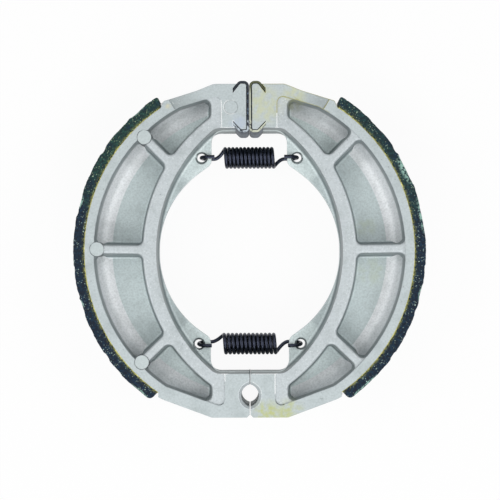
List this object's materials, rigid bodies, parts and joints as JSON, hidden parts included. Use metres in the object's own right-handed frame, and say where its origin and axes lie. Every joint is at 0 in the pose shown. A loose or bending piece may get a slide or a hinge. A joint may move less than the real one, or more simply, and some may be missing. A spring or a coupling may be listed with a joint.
{
  "type": "drum brake shoe pair",
  "caption": "Pair of die-cast drum brake shoes with bonded linings and steel cam caps, joined by tension return springs.",
  "frame": {"origin": "centre of the resting side face of the pair, midway between its outer ends, on the surface it lies on", "axes": "+Z along the brake drum's axis, +Y towards the cam end, +X towards the right-hand shoe"},
  "size_m": [0.125, 0.1192, 0.028],
  "materials": {
    "shoe_casting": "as-cast, tumbled, dull",
    "wear_cap": "pressed strip, dark and worn",
    "lining": "rough moulded friction compound",
    "adhesive": "cured squeeze-out",
    "spring_wire": "black oxide, oiled"
  },
  "bodies": {
    "left": {"left_shoe": "shoe_casting", "left_wear_cap": "wear_cap", "left_lining": "lining", "left_bond_line": "adhesive", "cam_spring": "spring_wire", "anchor_spring": "spring_wire"},
    "right": {"right_shoe": "shoe_casting", "right_wear_cap": "wear_cap", "right_lining": "lining", "right_bond_line": "adhesive"}
  },
  "joints": [
    {"name": "shoe_spread", "type": "hinge", "parent": "left", "child": "right", "pos_m": [0, -0.0586, 0.014], "axis": [0, 0, -1], "range_deg": [0, 8], "stiffness_Nm_per_rad": 45, "springref_deg": -2.86, "deforming": ["cam_spring", "anchor_spring"]}
  ]
}
